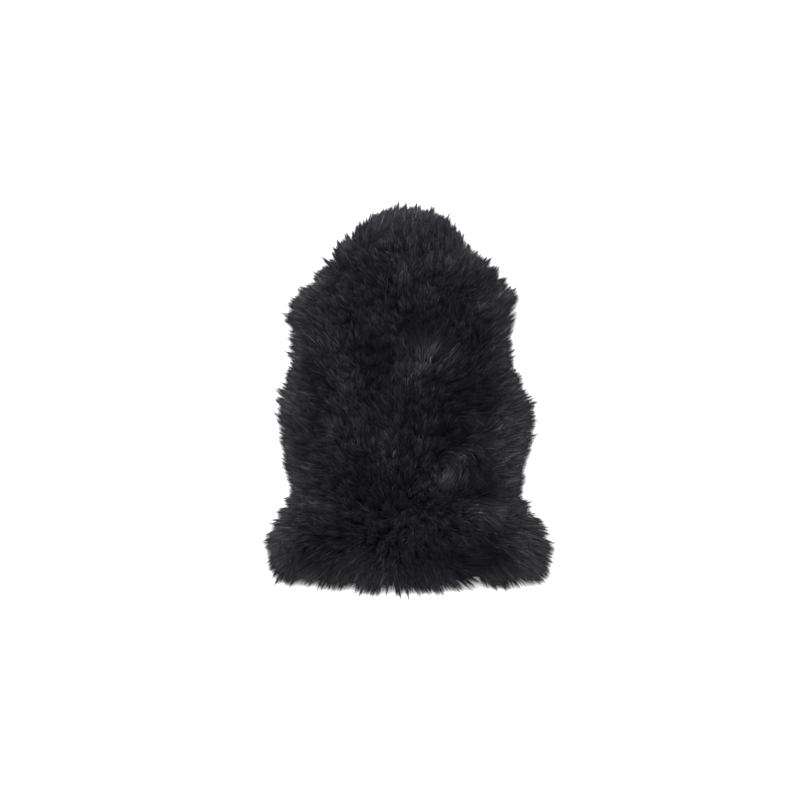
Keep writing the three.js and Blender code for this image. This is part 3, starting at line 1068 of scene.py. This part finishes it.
class RUG_OT_make_hide(bpy.types.Operator):
    """Make the tanned hide, a flat sheet whose skin side shows from below"""

    bl_idname = "rug.make_hide"
    bl_label = "Make the hide"

    def execute(self, context):
        settings = context.scene.rug_wool
        ring = PELT.cut
        count = len(ring)
        foot = np.column_stack([ring, np.zeros(count)])
        top = np.column_stack([ring, np.full(count, settings.hide_thickness)])
        first = np.arange(count)
        after = (first + 1) % count
        walls = np.stack([first, after, after + count, first + count], axis=1).ravel()
        corners = np.concatenate([first[::-1], first + count, walls])
        faces = np.concatenate([[count, count], np.full(count, 4)])
        mesh = mesh_of("hide", np.vstack([foot, top]), corners, faces)
        mesh.polygons.foreach_set("use_smooth", np.zeros(len(faces), bool))
        new_piece("hide", mesh, hide_material(context.scene.rug_colours))
        return {"FINISHED"}


class RUG_OT_make_underwool(bpy.types.Operator):
    """Make the felted underwool, the dark lumpy mass that the locks stand out of"""

    bl_idname = "rug.make_underwool"
    bl_label = "Make the underwool"

    PITCH = 0.0065
    STRAY = 0.2  # of the points from their grid, in pitches
    BORDER = 0.6  # from the outline to the grid, in pitches
    OVERHANG = 0.025  # beyond the hide's edge
    EDGE_POINTS = 340
    FLOOR = 0.0024
    LEAST_THICKNESS = 0.0015

    def plan(self):
        """Points in and on the underwool's outline, and the triangles between them."""
        out = self.OVERHANG
        ring = resampled(PELT.edge + out * PELT.normals, self.EDGE_POINTS)
        low, high = ring.min(axis=0), ring.max(axis=0)
        across, along = np.meshgrid(
            np.arange(low[0], high[0], self.PITCH), np.arange(low[1], high[1], self.PITCH))
        grid = np.stack([across.ravel(), along.ravel()], axis=1)
        stray = np.random.default_rng(SEED_NOISE).uniform(-self.STRAY, self.STRAY, grid.shape)
        grid = grid + stray * self.PITCH
        grid = grid[PELT.distance(grid) < out - self.BORDER * self.PITCH]
        places = [Vector(point) for point in np.vstack([ring, grid])]
        inside = 1
        same_place = 1e-6
        found = delaunay_2d_cdt(places, [], [list(range(len(ring)))], inside, same_place)
        return np.array([tuple(point) for point in found[0]]), np.array(found[2])

    def execute(self, context):
        points, triangles = self.plan()
        heights = PELT.height(points) - context.scene.rug_wool.underwool_depth
        heights = heights + LUMPS.strength * LUMPS.over(points)[:, 0]
        heights = np.maximum(heights, self.FLOOR + self.LEAST_THICKNESS)
        top = np.column_stack([points, heights])
        foot = np.column_stack([points, np.full(len(points), self.FLOOR)])
        edges = np.concatenate([triangles[:, [0, 1]], triangles[:, [1, 2]], triangles[:, [2, 0]]])
        reverse = {(b, a) for a, b in edges.tolist()}
        open_edges = np.array([edge for edge in edges.tolist() if tuple(edge) not in reverse])
        count = len(points)
        start, end = open_edges.T
        walls = np.stack([end, start, start + count, end + count], axis=1)
        corners = np.concatenate([triangles.ravel(), (triangles[:, ::-1] + count).ravel(), walls.ravel()])
        faces = np.concatenate([np.full(2 * len(triangles), 3), np.full(len(walls), 4)])
        mesh = mesh_of("underwool", np.vstack([top, foot]), corners, faces)
        new_piece("underwool", mesh, underwool_material(context.scene.rug_colours))
        return {"FINISHED"}


class RUG_OT_make_wool(bpy.types.Operator):
    """Grow the long wool in its locks and wisps, region by region"""

    bl_idname = "rug.make_wool"
    bl_label = "Grow the wool"

    def execute(self, context):
        material = wool_material(context.scene.rug_colours)
        fleece = Fleece(context.scene.rug_wool)
        x, y = fleece.lock.T
        left = np.ones(len(x), bool)
        for region in REGIONS:
            here = left & (x >= region.from_x) & (x < region.to_x) & (y >= region.from_y) & (y < region.to_y)
            left &= ~here
            new_piece(region.piece, fleece.mesh(region.piece, here), material)
        if left.any():
            raise RuntimeError("some locks grow outside every region")
        return {"FINISHED"}


class RUG_OT_lay_rug(bpy.types.Operator):
    bl_idname = "rug.lay_rug"
    bl_label = "Lay the rug"

    def execute(self, context):
        return {"FINISHED"}


class RUG_OT_make_stage(bpy.types.Operator):
    """Set up the floor, the soft light and the camera"""

    bl_idname = "rug.make_stage"
    bl_label = "Make the stage"

    FLOOR_SIZE = 14.0
    SENSOR_WIDTH = 36  # millimetres
    KEY = {"name": "Key", "place": (-0.4, 1.1, 2.2), "size": 1.6}
    FILLS = (
        {"name": "Left fill", "place": (-1.9, 0.3, 1.5), "size": 1.2},
        {"name": "Right fill", "place": (1.9, 0.0, 1.5), "size": 1.2},
    )

    def floor(self, context):
        """The pale floor under the rug."""
        bpy.ops.mesh.primitive_plane_add(size=self.FLOOR_SIZE, location=(0, 0, 0))
        floor = context.active_object
        floor.name = "floor"
        material, tree = blank_material("Pale floor")
        colour = (*context.scene.rug_colours.floor, 1)
        principled(tree, Base_Color=colour, Roughness=0.9, Specular_IOR_Level=0.1)
        floor.data.materials.append(material)

    def light(self, context, name, place, size, power):
        """A square soft light that faces the rug."""
        data = bpy.data.lights.new(name, "AREA")
        data.shape = "RECTANGLE"
        data.size = size
        data.size_y = size
        data.energy = power
        light = bpy.data.objects.new(name, data)
        light.location = place
        light.rotation_euler = (-Vector(place)).to_track_quat("-Z", "Y").to_euler()
        context.scene.collection.objects.link(light)

    def execute(self, context):
        scene = context.scene
        stage = scene.rug_stage
        self.floor(context)
        self.light(context, power=stage.key_power, **self.KEY)
        for fill in self.FILLS:
            self.light(context, power=stage.fill_power, **fill)
        world = bpy.data.worlds.new("Surround")
        world.use_nodes = True
        world.node_tree.nodes["Background"].inputs["Strength"].default_value = stage.sky
        world.node_tree.nodes["Background"].inputs["Color"].default_value = (1, 1, 1, 1)
        scene.world = world
        scene.view_settings.view_transform = "Standard"
        scene.view_settings.look = "None"
        data = bpy.data.cameras.new("Camera")
        data.lens = stage.lens
        data.sensor_width = self.SENSOR_WIDTH
        camera = bpy.data.objects.new("Camera", data)
        aim = Vector(stage.aim)
        back = Vector((0, -math.cos(stage.elevation), math.sin(stage.elevation)))
        camera.location = aim + stage.distance * back
        camera.rotation_euler = (-back).to_track_quat("-Z", "Y").to_euler()
        scene.collection.objects.link(camera)
        scene.camera = camera
        return {"FINISHED"}


class RUG_PT_sheepskin(bpy.types.Panel):
    """Sizes, colours and steps of the sheepskin rug"""

    bl_idname = "RUG_PT_sheepskin"
    bl_label = "Sheepskin rug"
    bl_space_type = "VIEW_3D"
    bl_region_type = "UI"
    bl_category = "Sheepskin"

    def draw(self, context):
        for name in ("rug_wool", "rug_colours", "rug_stage"):
            group = getattr(context.scene, name)
            box = self.layout.box()
            for key in group.__annotations__:
                box.prop(group, key)
        for step in STEPS:
            self.layout.operator(step.bl_idname)


STEPS = (
    RUG_OT_make_stage,
    RUG_OT_make_hide,
    RUG_OT_make_underwool,
    RUG_OT_make_wool,
    RUG_OT_lay_rug,
)
CLASSES = (WoolSettings, ColourSettings, StageSettings, *STEPS, RUG_PT_sheepskin)


def register():
    for cls in CLASSES:
        bpy.utils.register_class(cls)
    bpy.types.Scene.rug_wool = bpy.props.PointerProperty(type=WoolSettings)
    bpy.types.Scene.rug_colours = bpy.props.PointerProperty(type=ColourSettings)
    bpy.types.Scene.rug_stage = bpy.props.PointerProperty(type=StageSettings)


def unregister():
    del bpy.types.Scene.rug_wool
    del bpy.types.Scene.rug_colours
    del bpy.types.Scene.rug_stage
    for cls in reversed(CLASSES):
        bpy.utils.unregister_class(cls)


def main():
    register()
    bpy.ops.rug.make_stage()
    bpy.ops.rug.make_hide()
    bpy.ops.rug.make_underwool()
    bpy.ops.rug.make_wool()
    bpy.ops.rug.lay_rug()


if __name__ == "__main__":
    main()
